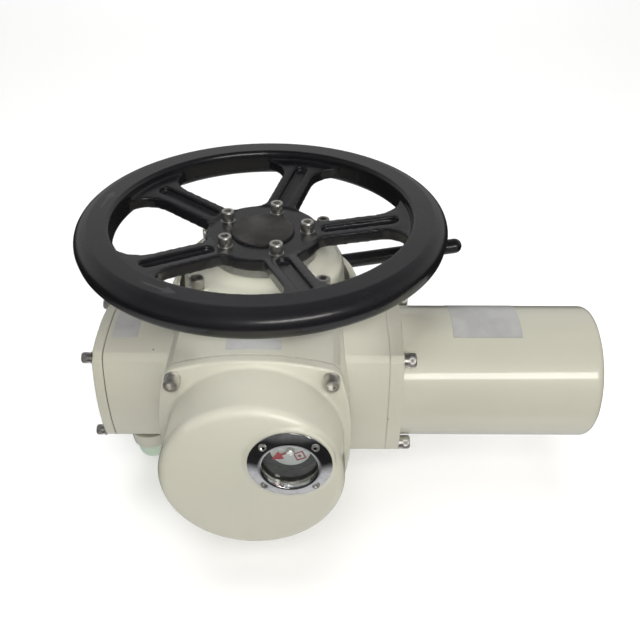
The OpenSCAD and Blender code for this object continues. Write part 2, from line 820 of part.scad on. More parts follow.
module handwheel() {
  color(black) difference() {
    union() {
      rim();
      intersection() {
        for (i = [0 : spoke_count - 1]) rotate(spoke_turn + i * 360 / spoke_count)
          translate([0, 0, hub_top - 5]) spoke();
        cylinder(h = 300, r = rim_in + 3);
      }
      translate([0, 0, hub_bottom]) cylinder(h = hub_t, r = hub_r);
    }
    cylinder(h = 300, r = cap_plug_r + thread_gap);
    translate([0, 0, hub_bottom - 20]) cylinder(h = 20, r = hub_r + 30);
    translate([0, 0, hub_top]) cylinder(h = 30, r = hub_r - 3);
    for (i = [0 : spoke_count - 1]) rotate(spoke_turn + i * 360 / spoke_count) translate([hub_screw_r, 0, 0]) {
      cylinder(h = 300, r = screw_r + loose_gap);
      translate([0, 0, hub_top - seat_drop]) cylinder(h = 30, r = head_r + washer_over + 0.4);
    }
  }
}

module handwheel_cap() {
  color(rubber) rotate_extrude() polygon([[0, hub_bottom + 1], [cap_plug_r, hub_bottom + 1],
    [cap_plug_r, hub_top], [cap_d / 2, hub_top], [cap_d / 2, hub_top + cap_t - 1],
    [cap_d / 2 - 1, hub_top + cap_t], [0, hub_top + cap_t]]);
}

module handwheel_screws() {
  color(steel) for (i = [0 : spoke_count - 1]) rotate(spoke_turn + i * 360 / spoke_count)
    translate([hub_screw_r, 0, hub_top - seat_drop + washer_t])
      cap_screw(screw_r, head_r, head_h, hub_t + washer_t + sleeve_flange_t - seat_drop - 1);
}

module handwheel_washers() {
  color(steel) for (i = [0 : spoke_count - 1]) rotate(spoke_turn + i * 360 / spoke_count)
    translate([hub_screw_r, 0, hub_top - seat_drop]) washer_pair(screw_r, head_r);
}

// Lever
module at_lever() { translate([lever_x, 0, fork_z]) rotate([-90, 0, 0]) children(); }

module lever_shaft() {
  color(steel) at_lever() translate([0, 0, -32]) cylinder(h = lever_y + lever_hub_w / 2 + 34, r = lever_shaft_r);
}

module lever_seal() {
  color(rubber) at_lever() translate([0, 0, lever_boss_y - 6])
    ring(lever_shaft_r + 4, lever_shaft_r + slide_gap, 5.5);
}

module lever_hub() {
  color(black) at_lever() translate([0, 0, lever_y - lever_hub_w / 2]) difference() {
    cylinder(h = lever_hub_w, r = lever_hub_r);
    translate([0, 0, -1]) cylinder(h = lever_hub_w + 2, r = lever_shaft_r + seat_gap);
    translate([0, 0, lever_hub_w / 2]) rotate([0, 90, 0]) rotate([lever_slope, 0, 0])
      cylinder(h = 40, r = lever_d / 2 - 3);
  }
}

module lever_rod() {
  color(black) translate([lever_x, lever_y, fork_z]) rotate([0, 90 - lever_slope, 0]) {
    difference() {
      translate([0, 0, lever_hub_r - 2]) cylinder(h = lever_len - lever_hub_r + 2 - lever_d / 2, r = lever_d / 2);
      rotate([90, 0, 0]) translate([0, 0, -20]) cylinder(h = 40, r = lever_hub_r + seat_gap);
    }
    translate([0, 0, lever_len - lever_d / 2]) sphere(lever_d / 2);
  }
}

module clutch_fork() {
  color(dark_steel) for (s = [-1, 1]) at_lever() translate([0, 0, s * (fork_y + fork_w / 2) - fork_w / 2])
    difference() {
      union() {
        cylinder(h = fork_w, r = lever_shaft_r + 2.5);
        translate([-fork_reach, -3, 0]) cube([fork_reach, 6, fork_w]);
        translate([-fork_reach, 0, 0]) cylinder(h = fork_w, r = 4.5);
      }
      translate([0, 0, -1]) cylinder(h = fork_w + 2, r = lever_shaft_r + seat_gap);
    }
}

module cover_labels() {
  color([0.86, 0.86, 0.86]) {
    to_terminals(112) linear_extrude(24) rotate(180) intersection() {
      translate([0, term_bulge - term_half]) difference() {
        circle(term_bulge + label_t, $fn = 180);
        circle(term_bulge + 0.05, $fn = 180);
      }
      translate([-26, -100]) square([52, 60]);
    }
    to_front(135, front_z) linear_extrude(16) intersection() {
      translate([0, front_half - front_bulge]) difference() {
        circle(front_bulge + label_t, $fn = 180);
        circle(front_bulge + 0.05, $fn = 180);
      }
      translate([-23, 0]) square([46.5, 100]);
    }
    to_motor(177) rotate(82) ring_piece(motor_r + label_t, motor_r + slide_gap, 63, 64);
  }
}

gearcase();
top_cover();
top_cover_screws();
front_cover();
front_gasket();
front_screws();
window_bezel();
window_glass();
bezel_screws();
terminal_cover();
terminal_gasket();
terminal_screws();
motor_cover();
motor_gasket();
motor_screws();
cover_washers();
motor_end_shield();
motor_stator();
lower_bearing();
middle_bearing();
upper_bearing();
worm_bearings();
lower_seal();
top_seal();
lever_seal();
gland_bodies();
gland_nuts();
cover_labels();
earth_screw();
indicator_plate();
indicator_gearbox();
limit_switch_unit();
torque_switch_unit();
terminal_block();
motor_capacitor();
handwheel();
handwheel_cap();
handwheel_screws();
handwheel_washers();
drive_sleeve();
drive_column();
worm_wheel();
spacer_ring();
clutch_ring();
worm();
worm_shaft();
motor_rotor();
indicator_pointer();
pointer_screw();
lever_rod();
lever_hub();
lever_shaft();
clutch_fork();
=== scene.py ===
import bpy
import bmesh
import json
from math import pi, sin, cos, radians, sqrt, atan2
from mathutils import Vector, Matrix


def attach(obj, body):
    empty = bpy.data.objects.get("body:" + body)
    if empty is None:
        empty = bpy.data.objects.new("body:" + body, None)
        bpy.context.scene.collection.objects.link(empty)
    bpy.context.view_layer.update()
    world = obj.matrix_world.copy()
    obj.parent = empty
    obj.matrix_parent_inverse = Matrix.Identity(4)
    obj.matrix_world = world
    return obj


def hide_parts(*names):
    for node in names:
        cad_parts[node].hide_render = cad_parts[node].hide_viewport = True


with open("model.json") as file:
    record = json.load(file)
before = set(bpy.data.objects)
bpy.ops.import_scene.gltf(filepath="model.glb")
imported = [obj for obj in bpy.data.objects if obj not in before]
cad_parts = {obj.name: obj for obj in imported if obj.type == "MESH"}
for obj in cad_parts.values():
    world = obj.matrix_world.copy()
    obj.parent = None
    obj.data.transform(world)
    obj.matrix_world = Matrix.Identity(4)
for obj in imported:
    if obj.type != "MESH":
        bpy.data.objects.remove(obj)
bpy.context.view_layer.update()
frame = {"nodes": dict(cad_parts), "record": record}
nodes = frame["nodes"]
scene = bpy.context.scene


# small helpers that build shader and geometry nodes
def addNode(tree, kind, x=0, y=0, **settings):
    node = tree.nodes.new(kind)
    node.location = (x, y)
    for key, value in settings.items():
        setattr(node, key, value)
    return node


def feed(socket, value):
    if hasattr(value, "is_linked"):
        socket.id_data.links.new(value, socket)
    else:
        socket.default_value = value


def setInputs(node, **values):
    for key, value in values.items():
        feed(node.inputs[key.replace("_", " ")], value)
    return node


def newGroup(name, inputs, outputs):
    group = bpy.data.node_groups.new(name, "ShaderNodeTree")
    for label, kind, value in inputs:
        socket = group.interface.new_socket(label, in_out="INPUT", socket_type=kind)
        socket.default_value = value
    for label, kind in outputs:
        group.interface.new_socket(label, in_out="OUTPUT", socket_type=kind)
    return group, addNode(group, "NodeGroupInput", -900), addNode(group, "NodeGroupOutput", 700)


def useGroup(tree, group, **values):
    node = addNode(tree, "ShaderNodeGroup", -500, 0, node_tree=group)
    return setInputs(node, **values)


def maths(tree, operation, first, second=None, clamp=False):
    node = addNode(tree, "ShaderNodeMath", operation=operation, use_clamp=clamp)
    feed(node.inputs[0], first)
    if second is not None:
        feed(node.inputs[1], second)
    return node.outputs[0]


def noiseAt(tree, coords, scale, detail=3.0, rough=0.5, seed=(0, 0, 0)):
    shift = setInputs(addNode(tree, "ShaderNodeMapping"), Location=seed, Vector=coords)
    noise = addNode(tree, "ShaderNodeTexNoise")
    setInputs(noise, Vector=shift.outputs[0], Scale=scale, Detail=detail, Roughness=rough)
    return noise.outputs["Fac"]


def ramp(tree, value, low, high):
    node = addNode(tree, "ShaderNodeMapRange", clamp=True, interpolation_type="SMOOTHSTEP")
    return setInputs(node, Value=value, From_Min=low, From_Max=high).outputs["Result"]


def blendColour(tree, factor, first, second):
    node = addNode(tree, "ShaderNodeMix", data_type="RGBA")
    feed(node.inputs["Factor"], factor)
    for name, value in (("A", first), ("B", second)):
        socket = [s for s in node.inputs if s.name == name and s.type == "RGBA"][0]
        feed(socket, value if hasattr(value, "is_linked") else (*value, 1))
    return [s for s in node.outputs if s.type == "RGBA"][0]


def objectCoords(tree):
    return addNode(tree, "ShaderNodeTexCoord").outputs["Object"]


# a socket varied evenly about a middle value by a mask from 0 to 1
def varied(tree, mask, amount, middle):
    swing = maths(tree, "MULTIPLY", maths(tree, "SUBTRACT", mask, 0.5), amount)
    return maths(tree, "ADD", swing, middle, True)


edgeMask = {"samples": 6, "from": 0.01, "to": 0.25}


# rounded edges and an edge mask, for wear on corners and, on the cream paint, a painted highlight along
# ridges and creases
def makeSoftEdges():
    group, ins, outs = newGroup("softEdges", [("Radius", "NodeSocketFloat", 0.001)],
                                [("Normal", "NodeSocketVector"), ("Edge", "NodeSocketFloat")])
    bevel = addNode(group, "ShaderNodeBevel", samples=edgeMask["samples"])
    setInputs(bevel, Radius=ins.outputs["Radius"])
    geometry = addNode(group, "ShaderNodeNewGeometry")
    dot = addNode(group, "ShaderNodeVectorMath", operation="DOT_PRODUCT")
    feed(dot.inputs[0], bevel.outputs[0])
    feed(dot.inputs[1], geometry.outputs["True Normal"])
    bend = maths(group, "SUBTRACT", 1.0, dot.outputs["Value"])
    edge = ramp(group, bend, edgeMask["from"], edgeMask["to"])
    setInputs(outs, Normal=bevel.outputs[0], Edge=edge)
    return group


paintGrain = {"detail": 2.0, "rough": 0.45, "nibCells": 42, "nibRarity": 6.0, "nibRadius": 0.05,
              "nibHeight": 0.8, "cloud": 9.0}


# the fine waviness of sprayed paint, and grains caught in it
def makePaintSkin():
    group, ins, outs = newGroup("paintSkin", [("Peel", "NodeSocketFloat", 350.0),
                                              ("Nibs", "NodeSocketFloat", 0.3)],
                                [("Height", "NodeSocketFloat"), ("Nib", "NodeSocketFloat"),
                                 ("Cloud", "NodeSocketFloat")])
    coords = objectCoords(group)
    peel = addNode(group, "ShaderNodeTexNoise")
    setInputs(peel, Vector=coords, Scale=ins.outputs["Peel"], Detail=paintGrain["detail"],
              Roughness=paintGrain["rough"])
    cells = addNode(group, "ShaderNodeTexVoronoi", feature="F1")
    setInputs(cells, Vector=coords, Scale=paintGrain["nibCells"])
    size = addNode(group, "ShaderNodeSeparateColor")
    feed(size.inputs[0], cells.outputs["Color"])
    rare = maths(group, "POWER", size.outputs[0], paintGrain["nibRarity"])
    radius = maths(group, "MULTIPLY", rare, paintGrain["nibRadius"])
    nib = maths(group, "LESS_THAN", cells.outputs["Distance"],
                maths(group, "MULTIPLY", radius, ins.outputs["Nibs"]))
    height = maths(group, "ADD", peel.outputs["Fac"],
                   maths(group, "MULTIPLY", nib, paintGrain["nibHeight"]))
    cloud = noiseAt(group, coords, paintGrain["cloud"], 4.0, 0.6)
    setInputs(outs, Height=height, Nib=nib, Cloud=cloud)
    return group


dustSpread = {"patch": 35.0, "patchShare": 0.6, "speck": 900.0, "speckShare": 0.5,
              "flatFrom": 0.1, "flatTo": 0.95}


# dust that settles on faces that look up, in soft patches
def makeDust():
    group, ins, outs = newGroup("dust", [("Amount", "NodeSocketFloat", 0.3)],
                                [("Mask", "NodeSocketFloat")])
    up = addNode(group, "ShaderNodeSeparateXYZ")
    feed(up.inputs[0], addNode(group, "ShaderNodeNewGeometry").outputs["Normal"])
    coords = objectCoords(group)
    patches = ramp(group, noiseAt(group, coords, dustSpread["patch"], 6.0, 0.7, (3, 1, 2)), 0.35, 0.75)
    specks = ramp(group, noiseAt(group, coords, dustSpread["speck"], 2.0, 0.6), 0.6, 0.72)
    both = maths(group, "ADD", maths(group, "MULTIPLY", patches, dustSpread["patchShare"]),
                 maths(group, "MULTIPLY", specks, dustSpread["speckShare"]))
    facing = ramp(group, up.outputs["Z"], dustSpread["flatFrom"], dustSpread["flatTo"])
    settled = maths(group, "MULTIPLY", both, facing)
    setInputs(outs, Mask=maths(group, "MULTIPLY", settled, ins.outputs["Amount"], True))
    return group


# two direction arrows sunk in the flat of the handwheel rim, in metres and radians; their lighter grey
# colour is a painted highlight on their outlines
rimArrows = {"radius": 0.1535, "shaft": 0.0012, "length": 0.024, "head": 0.012, "headSlope": 0.45,
             "starts": ((-2.20, 1.0), (3.10, -1.0)), "above": 0.2675, "colour": (0.022, 0.022, 0.024)}


def makeArrows():
    group, ins, outs = newGroup("rimArrows", [("Radius", "NodeSocketFloat", rimArrows["radius"])],
                                [("Mask", "NodeSocketFloat")])

    def times(first, second):
        return maths(group, "MULTIPLY", first, second)

    split = addNode(group, "ShaderNodeSeparateXYZ")
    feed(split.inputs[0], objectCoords(group))
    x, y, z = split.outputs
    square = maths(group, "ADD", times(x, x), times(y, y))
    reach = maths(group, "SUBTRACT", maths(group, "SQRT", square), ins.outputs["Radius"])
    side = maths(group, "ABSOLUTE", reach)
    turn = maths(group, "ARCTAN2", y, x)
    total = None
    for start, way in rimArrows["starts"]:
        along = times(maths(group, "SUBTRACT", turn, start), way * rimArrows["radius"])
        shaft = times(maths(group, "LESS_THAN", side, rimArrows["shaft"]),
                      maths(group, "LESS_THAN", along, rimArrows["length"]))
        tip = maths(group, "SUBTRACT", rimArrows["length"] + rimArrows["head"], along)
        head = times(maths(group, "GREATER_THAN", along, rimArrows["length"]),
                     maths(group, "LESS_THAN", side, times(tip, rimArrows["headSlope"])))
        both = times(maths(group, "ADD", shaft, head), maths(group, "GREATER_THAN", along, 0.0))
        total = both if total is None else maths(group, "ADD", total, both)
    setInputs(outs, Mask=times(total, maths(group, "GREATER_THAN", z, rimArrows["above"])))
    return group


softEdges = makeSoftEdges()
paintSkin = makePaintSkin()
dustLayer = makeDust()
coatings = {}


def startMaterial(name, **shader):
    material = bpy.data.materials.new(name)
    material.use_nodes = True
    tree = material.node_tree
    coatings[name] = material
    return tree, setInputs(tree.nodes["Principled BSDF"], **shader)


def bumpFrom(tree, principled, height, strength, distance, normal=None):
    bump = setInputs(addNode(tree, "ShaderNodeBump", -150, -300), Strength=strength, Distance=distance,
                     Height=height)
    if normal is not None:
        setInputs(bump, Normal=normal)
    setInputs(principled, Normal=bump.outputs[0])


def scaled(colour, share, lift=0.0):
    return tuple(min(1, share * c + lift) for c in colour)


# the cream's lighter edges are partly wear and mostly a painted highlight along ridges and creases
creamLook = {"rough": 0.32, "coat": 0.9, "coatRough": 0.05, "radius": 0.0016, "peel": 260.0, "nibs": 0.9,
             "dust": 0.0, "edgeLighten": 0.5, "bump": 0.035, "depth": 0.0006}
blackLook = {"rough": 0.26, "coat": 0.25, "coatRough": 0.12, "radius": 0.0012, "peel": 800.0, "nibs": 0.0,
             "dust": 0.006, "edgeLighten": 0.05, "bump": 0.06, "depth": 0.0003, "sink": 0.0012}
paintMarks = {"nib": (0.05, 0.05, 0.045), "nibShare": 0.75, "dust": (0.52, 0.50, 0.46), "dustRough": 0.4,
              "roughSwing": 0.16}


def makePaint(name, colour, shade, wornAndLitEdge, look):
    tree, principled = startMaterial(name, Coat_Weight=look["coat"], Coat_Roughness=look["coatRough"],
                                     Specular_IOR_Level=0.5)
    edges = useGroup(tree, softEdges, Radius=look["radius"]).outputs
    skin = useGroup(tree, paintSkin, Peel=look["peel"], Nibs=look["nibs"]).outputs
    dust = useGroup(tree, dustLayer, Amount=look["dust"]).outputs["Mask"]
    base = blendColour(tree, ramp(tree, skin["Cloud"], 0.3, 0.7), colour, shade)
    # edges and creases mixed towards a lighter colour: wear, and on the cream a painted highlight
    edgeLightened = blendColour(tree, maths(tree, "MULTIPLY", edges["Edge"], look["edgeLighten"]), base, wornAndLitEdge)
    speck = maths(tree, "MULTIPLY", skin["Nib"], paintMarks["nibShare"])
    shown = blendColour(tree, dust, blendColour(tree, speck, edgeLightened, paintMarks["nib"]), paintMarks["dust"])
    uneven = maths(tree, "MULTIPLY", maths(tree, "SUBTRACT", skin["Cloud"], 0.5), paintMarks["roughSwing"])
    dull = maths(tree, "MULTIPLY", dust, paintMarks["dustRough"])
    rough = maths(tree, "ADD", maths(tree, "ADD", uneven, look["rough"]), dull, True)
    normal = edges["Normal"]
    if "sink" in look:
        arrows = useGroup(tree, makeArrows()).outputs["Mask"]
        cut = addNode(tree, "ShaderNodeBump", -350, -450, invert=True)
        setInputs(cut, Strength=1.0, Distance=look["sink"], Height=arrows, Normal=normal)
        normal = cut.outputs[0]
        # arrows painted lighter grey: a painted highlight on their outlines
        shown = blendColour(tree, arrows, shown, rimArrows["colour"])
    setInputs(principled, Base_Color=shown, Roughness=rough)
    bumpFrom(tree, principled, skin["Height"], look["bump"], look["depth"], normal)


metalLook = {"radius": 0.0004, "streak": (1, 1, 1), "stain": 60.0, "dark": 0.72, "bright": 1.25,
             "edgeLighten": 0.6, "roughSwing": 0.25, "bump": 0.12, "depth": 0.0002}


def makeMetal(name, colour, rough, grain, **changes):
    look = {**metalLook, **changes}
    tree, principled = startMaterial(name, Metallic=1.0)
    edges = useGroup(tree, softEdges, Radius=look["radius"]).outputs
    coords = objectCoords(tree)
    stretch = setInputs(addNode(tree, "ShaderNodeMapping"), Vector=coords, Scale=look["streak"])
    fine = noiseAt(tree, stretch.outputs[0], grain, 4.0, 0.6)
    stain = ramp(tree, noiseAt(tree, coords, look["stain"], 5.0, 0.6, (5, 2, 0)), 0.35, 0.7)
    base = blendColour(tree, stain, colour, scaled(colour, look["dark"]))
    bright = blendColour(tree, maths(tree, "MULTIPLY", edges["Edge"], look["edgeLighten"]), base,
                         scaled(colour, look["bright"]))
    setInputs(principled, Base_Color=bright, Roughness=varied(tree, fine, look["roughSwing"], rough))
    bumpFrom(tree, principled, fine, look["bump"], look["depth"], edges["Normal"])


plasticLook = {"radius": 0.0006, "cloud": 25.0, "dark": 0.8, "edgeLighten": 0.25, "bright": 1.3, "lift": 0.02,
               "dustColour": (0.45, 0.43, 0.4), "roughSwing": 0.2, "bump": 0.2, "depth": 0.0003}


def makePlastic(name, colour, rough, grain, dust=0.0, coat=0.0):
    look = plasticLook
    tree, principled = startMaterial(name, Coat_Weight=coat)
    edges = useGroup(tree, softEdges, Radius=look["radius"]).outputs
    settled = useGroup(tree, dustLayer, Amount=dust).outputs["Mask"]
    coords = objectCoords(tree)
    fine = noiseAt(tree, coords, grain, 3.0, 0.55)
    cloud = noiseAt(tree, coords, look["cloud"], 4.0, 0.6, (1, 4, 2))
    base = blendColour(tree, ramp(tree, cloud, 0.3, 0.7), colour, scaled(colour, look["dark"]))
    edgeLightened = blendColour(tree, maths(tree, "MULTIPLY", edges["Edge"], look["edgeLighten"]), base,
                       scaled(colour, look["bright"], look["lift"]))
    setInputs(principled, Base_Color=blendColour(tree, settled, edgeLightened, look["dustColour"]),
              Roughness=varied(tree, cloud, look["roughSwing"], rough))
    bumpFrom(tree, principled, fine, look["bump"], look["depth"], edges["Normal"])


glassLook = {"smear": 55.0, "clear": (0.97, 0.99, 0.99), "hazy": (0.88, 0.92, 0.92), "rough": 0.12,
             "bump": 0.05, "depth": 0.0002}


def makeGlass():
    tree, principled = startMaterial("window_glass", IOR=1.45, Transmission_Weight=1.0,
                                     Specular_IOR_Level=0.5)
    smear = noiseAt(tree, objectCoords(tree), glassLook["smear"], 5.0, 0.65, (2, 2, 1))
    tint = blendColour(tree, ramp(tree, smear, 0.35, 0.75), glassLook["clear"], glassLook["hazy"])
    rough = maths(tree, "MULTIPLY", ramp(tree, smear, 0.45, 0.8), glassLook["rough"])
    setInputs(principled, Base_Color=tint, Roughness=rough)
    bumpFrom(tree, principled, smear, glassLook["bump"], glassLook["depth"])


# paint: colour, patchy shade, edge colour (worn paint, and on the cream a painted highlight), look
paints = {"cream_enamel": ((0.425, 0.415, 0.345), (0.405, 0.398, 0.33), (0.52, 0.51, 0.43), creamLook),
          "painted_seam": ((0.36, 0.345, 0.28), (0.33, 0.32, 0.26), (0.36, 0.345, 0.28), creamLook),
          "black_coat": ((0.004, 0.004, 0.005), (0.006, 0.006, 0.007), (0.02, 0.02, 0.022), blackLook)}
# metal: colour, roughness, grain
metals = {"stainless": ((0.86, 0.84, 0.80), 0.38, 1500.0),
          "chrome_bezel": ((0.80, 0.80, 0.82), 0.06, 300.0),
          "machined_steel": ((0.52, 0.52, 0.53), 0.30, 1200.0),
          "motor_iron": ((0.20, 0.20, 0.21), 0.45, 900.0),
          "motor_copper": ((0.60, 0.30, 0.16), 0.35, 2500.0),
          "gear_bronze": ((0.66, 0.47, 0.22), 0.30, 1400.0)}
metalChanges = {"chrome_bezel": {"radius": 0.0007}, "motor_copper": {"streak": (1, 0.1, 0.1)}}
# plastic: colour, roughness, grain, then dust and coat where there are any
plastics = {"cap_rubber": ((0.011, 0.0105, 0.0105), 0.62, 1100.0, 0.10),
            "seal_rubber": ((0.02, 0.02, 0.02), 0.8, 900.0, 0.1),
            "gland_plastic": ((0.52, 0.64, 0.52), 0.32, 500.0, 0.05, 0.2),
            "label_film": ((0.36, 0.36, 0.355), 0.35, 700.0, 0.0, 0.3),
            "dial_white": ((0.80, 0.80, 0.78), 0.5, 700.0),
            "pointer_red": ((0.60, 0.03, 0.03), 0.4, 600.0),
            "black_plastic": ((0.02, 0.02, 0.02), 0.5, 700.0),
            "switch_orange": ((0.55, 0.20, 0.05), 0.5, 700.0),
            "terminal_green": ((0.06, 0.22, 0.12), 0.5, 700.0),
            "capacitor_white": ((0.70, 0.70, 0.66), 0.45, 700.0)}
for name, values in paints.items():
    makePaint(name, *values)
for name, values in metals.items():
    makeMetal(name, *values, **metalChanges.get(name, {}))
for name, values in plastics.items():
    makePlastic(name, *values)
makeGlass()
for part in frame["record"]["subparts"]:
    mesh = nodes[part["node"]].data
    mesh.materials.clear()
    mesh.materials.append(coatings[part["material_slot"]])
print("coatings made:", len(coatings))


# castings with rounded corners: the grid they are rebuilt on and how far they are smoothed
castings = {
    "handwheel": {"voxel": 0.0012, "smooth": 4},
    "top_cover": {"voxel": 0.0013, "smooth": 3},
    "front_cover": {"voxel": 0.0012, "smooth": 2},
    "terminal_cover": {"voxel": 0.0011, "smooth": 2},
}


def slotOf(node):
    return next(p["material_slot"] for p in frame["record"]["subparts"] if p["node"] == node)


def bodyOf(node):
    return next(b for b, names in frame["record"]["behaviour"]["bodies"].items() if node in names)


def addPiece(name, mesh, slotName, body, *replaced):
    piece = bpy.data.objects.new(name, mesh)
    scene.collection.objects.link(piece)
    mesh.materials.clear()
    mesh.materials.append(coatings[slotName])
    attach(piece, body)
    if replaced:
        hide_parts(*replaced)


# the webs between spokes, rim and hub, in millimetres and degrees
wheelFillets = {"turn": 2.5, "spokes": 5, "halfWidth": 15.5, "rimRadius": 27.0, "rimWall": 143.0,
                "hubRadius": 9.0, "hubWall": 55.0, "foot": 44.0, "rise": 12.0, "hubTop": 248.5,
                "drop": 5.0, "below": 0.15, "thick": 11.6, "rimSink": 5.0, "hubSink": -2.5, "spokeSink": 4.0}


# a flat corner piece that rounds the join of a spoke with a ring of radius wall
def filletOutline(halfWidth, radius, wall, inside, steps=10):
    way = -1 if inside else 1
    side = halfWidth + radius
    reach = wall + way * radius
    along = sqrt(reach * reach - side * side)
    last = atan2(side, along) + (0 if inside else pi)
    first = -pi / 2
    if not inside:
        last -= 2 * pi
    arc = [first + (last - first) * i / steps for i in range(steps + 1)]
    points = [(along + radius * cos(a), side + radius * sin(a)) for a in arc]
    far = wall + wheelFillets["rimSink" if inside else "hubSink"]
    near = halfWidth - wheelFillets["spokeSink"]
    end = atan2(points[-1][1], points[-1][0])
    return points + [(far * cos(end), far * sin(end)), (far, near), (points[0][0], near)]


# a closed plate between two outlines that match point by point
def addPlate(work, top, low):
    top = [work.verts.new(point) for point in top]
    low = [work.verts.new(point) for point in low]
    work.faces.new(top)
    work.faces.new(list(reversed(low)))
    for i in range(len(top)):
        k = (i + 1) % len(top)
        work.faces.new((top[k], top[i], low[i], low[k]))


def addWheelFillets(work, look):
    tilt = look["rise"] / (look["rimWall"] - look["foot"])

    def heightAt(x):
        return look["hubTop"] - look["drop"] - look["below"] + x * tilt

    shapes = [filletOutline(look["halfWidth"], look["rimRadius"], look["rimWall"], True),
              filletOutline(look["halfWidth"], look["hubRadius"], look["hubWall"], False)]
    for spoke in range(look["spokes"]):
        turn = Matrix.Rotation(radians(look["turn"] + spoke * 360 / look["spokes"]), 3, "Z")
        for side in (1, -1):
            for shape in shapes:
                top = [turn @ Vector((x, side * y, heightAt(x))) * 0.001 for x, y in shape]
                low = [point - Vector((0, 0, look["thick"])) * 0.001 for point in top]
                addPlate(work, top, low)


def weldedMesh(node):
    work = bmesh.new()
    work.from_mesh(nodes[node].data)
    bmesh.ops.remove_doubles(work, verts=work.verts, dist=1e-6)
    return work


# a modifier's result as a plain mesh, and its temporary object gone
def baked(temp):
    mesh = bpy.data.meshes.new_from_object(temp.evaluated_get(bpy.context.evaluated_depsgraph_get()))
    bpy.data.objects.remove(temp)
    mesh.shade_smooth()
    return mesh


def castSkin(node, size):
    source = nodes[node].data.copy()
    work = weldedMesh(node)
    if node == "handwheel":
        addWheelFillets(work, wheelFillets)
    bmesh.ops.recalc_face_normals(work, faces=work.faces)
    work.to_mesh(source)
    work.free()
    temp = bpy.data.objects.new(node + "Blank", source)
    scene.collection.objects.link(temp)
    remesh = temp.modifiers.new("skin", "REMESH")
    remesh.mode = "VOXEL"
    remesh.voxel_size = size["voxel"]
    soften = temp.modifiers.new("soften", "SMOOTH")
    soften.factor = 0.5
    soften.iterations = size["smooth"]
    mesh = baked(temp)
    print(node, "casting", len(mesh.polygons), "faces")
    addPiece(node + "Casting", mesh, slotOf(node), bodyOf(node), node)


for node, size in castings.items():
    castSkin(node, size)


# a socket head screw, in metres; knurlTo, chamferFrom and chamfer are shares of the head
knurledScrew = {"headRadius": 0.0065, "headHeight": 0.008, "shankRadius": 0.004, "shankLength": 0.018,
                "socketRadius": 0.0038, "socketDepth": 0.0045, "knurls": 30, "knurlDepth": 0.00016,
                "knurlTo": 0.3, "chamferFrom": 0.45, "chamfer": 0.09}


def raised(tree, geometry, height):
    shift = setInputs(addNode(tree, "ShaderNodeCombineXYZ"), Z=height)
    step = addNode(tree, "GeometryNodeTransform")
    return setInputs(step, Geometry=geometry, Translation=shift.outputs[0]).outputs["Geometry"]


